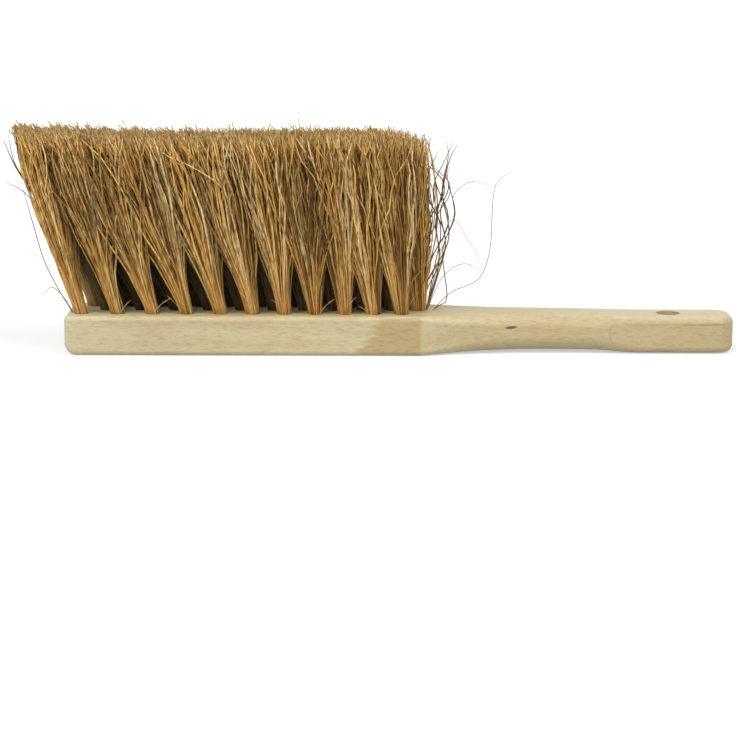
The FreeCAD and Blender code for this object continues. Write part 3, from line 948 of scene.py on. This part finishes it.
def spot(tree, across, up, middle, size, tilt):
    """1 inside a small ellipse on the front of the wood, 0 outside it."""
    cosine, sine = math.cos(tilt), math.sin(tilt)
    squares = []
    for first, second, length in ((cosine, sine, size[0]), (-sine, cosine, size[1])):
        shift = -(first * middle[0] + second * middle[1]) / length
        turned = scaled_sum(tree, up, second / length, scaled_sum(tree, across, first / length, shift))
        squares.append(times(tree, turned, turned))
    total = scaled_sum(tree, squares[0], 1.0, squares[1])
    return ease(tree, total, *SPOT_RANGE)


def distance_to(tree, across, up, middle):
    """How far a place is from a point, measured in two directions only."""
    flat = put(tree, "ShaderNodeCombineXYZ")
    tree.links.new(across, flat.inputs["X"])
    tree.links.new(up, flat.inputs["Y"])
    gap = put(tree, "ShaderNodeVectorMath", operation="DISTANCE")
    tree.links.new(flat.outputs["Vector"], gap.inputs[0])
    gap.inputs[1].default_value = (*middle, 0)
    return gap.outputs["Value"]


def grain_marks(tree, place, colour, streaks):
    """Fine streaks and the short flecks of beech."""
    streaked = ease(tree, streaks, *STREAK_RANGE)
    colour = mix_colours(tree, streaked, colour, STREAK_TINT, "MULTIPLY")
    for size, tilt, strength in FLECKS:
        cells = put(tree, "ShaderNodeTexVoronoi", Scale=1.0)
        turned = stretch(tree, place, size, (0, math.radians(tilt), 0))
        tree.links.new(turned, cells.inputs["Vector"])
        fleck = ease(tree, cells.outputs["Distance"], *FLECK_EDGE, strength, 0.0)
        colour = mix_colours(tree, fleck, colour, FLECK_TINT, "MULTIPLY")
    return colour


def handle_marks(tree, colour, streaks, x, y, z):
    """The pin knot, the line at the grip, painted shade where the flat side begins and the shade in the
    hole.
    """
    front = ease(tree, y, *HANDLE_FRONT_RANGE)
    knot = times(tree, spot(tree, x, z, KNOT_PLACE, KNOT_SIZE, KNOT_TILT), front)
    colour = mix_colours(tree, knot, colour, KNOT_TONE)
    line = times(tree, spot(tree, x, z, GRIP_LINE_PLACE, GRIP_LINE_SIZE, GRIP_LINE_TILT), front)
    line = times(tree, line, ease(tree, streaks, *GRIP_LINE_RANGE))
    colour = mix_colours(tree, line, colour, GRIP_LINE_TONE)

    # Painted shade: a faint dark curve where the round of the handle turns into its flat side.
    ring = distance_to(tree, x, z, ARC_MIDDLE)
    arc = times(tree, ease(tree, ring, ARC_RADIUS - ARC_WIDTH, ARC_RADIUS),
                ease(tree, ring, ARC_RADIUS, ARC_RADIUS + ARC_WIDTH, ARC_SHADE_STRENGTH, 0.0))
    arc = times(tree, times(tree, arc, front), ease(tree, x, *ARC_END_RANGE))
    colour = mix_colours(tree, arc, colour, ARC_SHADE_TONE)

    hole = distance_to(tree, x, y, HANG_HOLE)
    shade = ease(tree, hole, HANG_RADIUS, HANG_RADIUS + HANG_RIM, HANG_SHADE, 0.0)
    return mix_colours(tree, shade, colour, HANG_TONE)


print("sizes of fleck:", len(FLECKS), "knot in mm:", [round(side / MM, 1) for side in KNOT_SIZE])

# %% [markdown]
# The steps are put together in the order in which they came to the wood: the tones it grew with, then
# the grain and the marks. The streaks also make the surface a little uneven in gloss and in height,
# because sanding leaves the soft bands lower than the hard ones.

# %% The beech finish
BUMP_STRENGTH = 0.12
BUMP_HEIGHT = 0.4 * MM
BEECH_ROUGHNESS_RANGE = (0.30, 0.70, 0.42, 0.58)
BEECH_SPECULAR = 0.5


def beech_finish():
    """Pale sanded beech with growth bands, flecks, a warm patch and a few marks."""
    material, tree, shader = start_material("beech")
    place = put(tree, "ShaderNodeTexCoord").outputs["Object"]
    split = put(tree, "ShaderNodeSeparateXYZ")
    tree.links.new(place, split.inputs["Vector"])
    x, y, z = (split.outputs[axis] for axis in "XYZ")
    streaks = stretched_noise(tree, place, STREAK_SIZE, SLANT, Detail=2.0)
    colour = board_tones(tree, place, x)
    colour = warm_patch(tree, place, colour, x, y, z)
    colour = grain_marks(tree, place, colour, streaks)
    colour = handle_marks(tree, colour, streaks, x, y, z)
    tree.links.new(colour, shader.inputs["Base Color"])
    tree.links.new(ease(tree, streaks, *BEECH_ROUGHNESS_RANGE), shader.inputs["Roughness"])
    bump = put(tree, "ShaderNodeBump", Strength=BUMP_STRENGTH, Distance=BUMP_HEIGHT)
    tree.links.new(streaks, bump.inputs["Height"])
    tree.links.new(bump.outputs["Normal"], shader.inputs["Normal"])
    shader.inputs["Specular IOR Level"].default_value = BEECH_SPECULAR
    return material


def dress(node, material):
    """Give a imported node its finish."""
    node.data.materials.clear()
    node.data.materials.append(material)


beech = beech_finish()
dress(nodes["stock"], beech)
print("stock dressed in", beech.name)

# %% [markdown]
# The staples sit at the bottom of the holes, under the fold of each tuft. They are bright drawn wire,
# a little uneven in tone and gloss.

# %% The staple wire finish
WIRE_TONES = ((0.35, (0.47, 0.46, 0.45)), (0.65, (0.62, 0.62, 0.60)))
WIRE_MARK_SIZE = (1.1, 1.1, 1.1)
WIRE_ROUGHNESS_RANGE = (0.30, 0.70, 0.28, 0.45)


def staple_finish():
    """Drawn steel wire with faint marks."""
    material, tree, shader = start_material("staple_wire")
    place = put(tree, "ShaderNodeTexCoord").outputs["Object"]
    marks = stretched_noise(tree, place, WIRE_MARK_SIZE, Detail=2.0)
    tree.links.new(colour_ramp(tree, marks, WIRE_TONES), shader.inputs["Base Color"])
    tree.links.new(ease(tree, marks, *WIRE_ROUGHNESS_RANGE), shader.inputs["Roughness"])
    shader.inputs["Metallic"].default_value = 1.0
    return material


staple_wire = staple_finish()
dress(nodes["tuft_staples"], staple_wire)
print("staples dressed in", staple_wire.name)

# %% [markdown]
# The broom lies on a wide white floor under soft light. The lights are suns with a wide angle: like
# big soft boxes far away, they light the floor evenly out to the horizon and give soft shadows.
# The floor adds a little glow for the camera alone, which lifts it to white and keeps the shadow.
# Each light is a strength, a colour, its elevation, its azimuth and its width, in degrees.
# Azimuth 0 is the camera's side and 90 is the handle's.

# %% Floor and light
FLOOR_GAP = 0.2 * MM
FLOOR_REACH = 30
FLOOR_TONE = (0.55, 0.55, 0.55, 1)
FLOOR_ROUGHNESS = 0.9
FLOOR_GLOW = 0.5
SKY_LIGHT = 0.20
WHITE = (1, 1, 1, 1)
LIGHTS = {
    "left_light": (1.60, (0.97, 1, 1), 45, -55, 40),
    "right_light": (1.35, (0.97, 1, 1), 45, 55, 40),
    "front_light": (0.80, (1, 0.95, 0.86), 25, -8, 40),
    "top_light": (0.65, (0.80, 0.96, 1), 80, 0, 60),
}


def seen_direct(tree):
    """1 where the camera sees a surface itself or in a mirror or glass, 0 for other light."""
    path = put(tree, "ShaderNodeLightPath")
    seen = path.outputs["Is Camera Ray"]
    for name in ("Is Glossy Ray", "Is Transmission Ray"):
        either = put(tree, "ShaderNodeMath", operation="MAXIMUM")
        tree.links.new(seen, either.inputs[0])
        tree.links.new(path.outputs[name], either.inputs[1])
        seen = either.outputs["Value"]
    return seen


def make_floor():
    """A wide plane just under the broom."""
    bpy.ops.object.select_all(action="DESELECT")
    bpy.ops.mesh.primitive_plane_add(size=2 * FLOOR_REACH, location=(0, 0, -FLOOR_GAP))
    floor = bpy.context.object
    floor.name = "floor"
    material, tree, shader = start_material("floor_paper")
    shader.inputs["Base Color"].default_value = FLOOR_TONE
    shader.inputs["Roughness"].default_value = FLOOR_ROUGHNESS
    shader.inputs["Specular IOR Level"].default_value = 0.0
    shader.inputs["Emission Color"].default_value = WHITE
    glow = ease(tree, seen_direct(tree), 0, 1, 0.0, FLOOR_GLOW)
    tree.links.new(glow, shader.inputs["Emission Strength"])
    floor.data.materials.append(material)


def add_sun(name, strength, colour, elevation, azimuth, width):
    """A soft light from an elevation and an azimuth."""
    data = bpy.data.lights.new(name, "SUN")
    data.energy = strength
    data.color = colour
    data.angle = math.radians(width)
    sun = bpy.data.objects.new(name, data)
    rise = math.radians(elevation)
    turn = math.radians(azimuth)
    level = math.cos(rise)
    towards = Vector((math.sin(turn) * level, -math.cos(turn) * level, math.sin(rise)))
    sun.rotation_euler = towards.to_track_quat("Z", "Y").to_euler()
    bpy.context.scene.collection.objects.link(sun)


def light_world():
    """A pale sky all round: white where the camera sees it, dimmer as a light."""
    world = bpy.data.worlds.new("pale_surround")
    world.use_nodes = True
    tree = world.node_tree
    background = tree.nodes["Background"]
    background.inputs["Color"].default_value = WHITE
    strength = ease(tree, seen_direct(tree), 0, 1, SKY_LIGHT, 1.0)
    tree.links.new(strength, background.inputs["Strength"])
    bpy.context.scene.world = world


make_floor()
for name, values in LIGHTS.items():
    add_sun(name, *values)
light_world()
print("lights:", [item.name for item in bpy.data.lights])
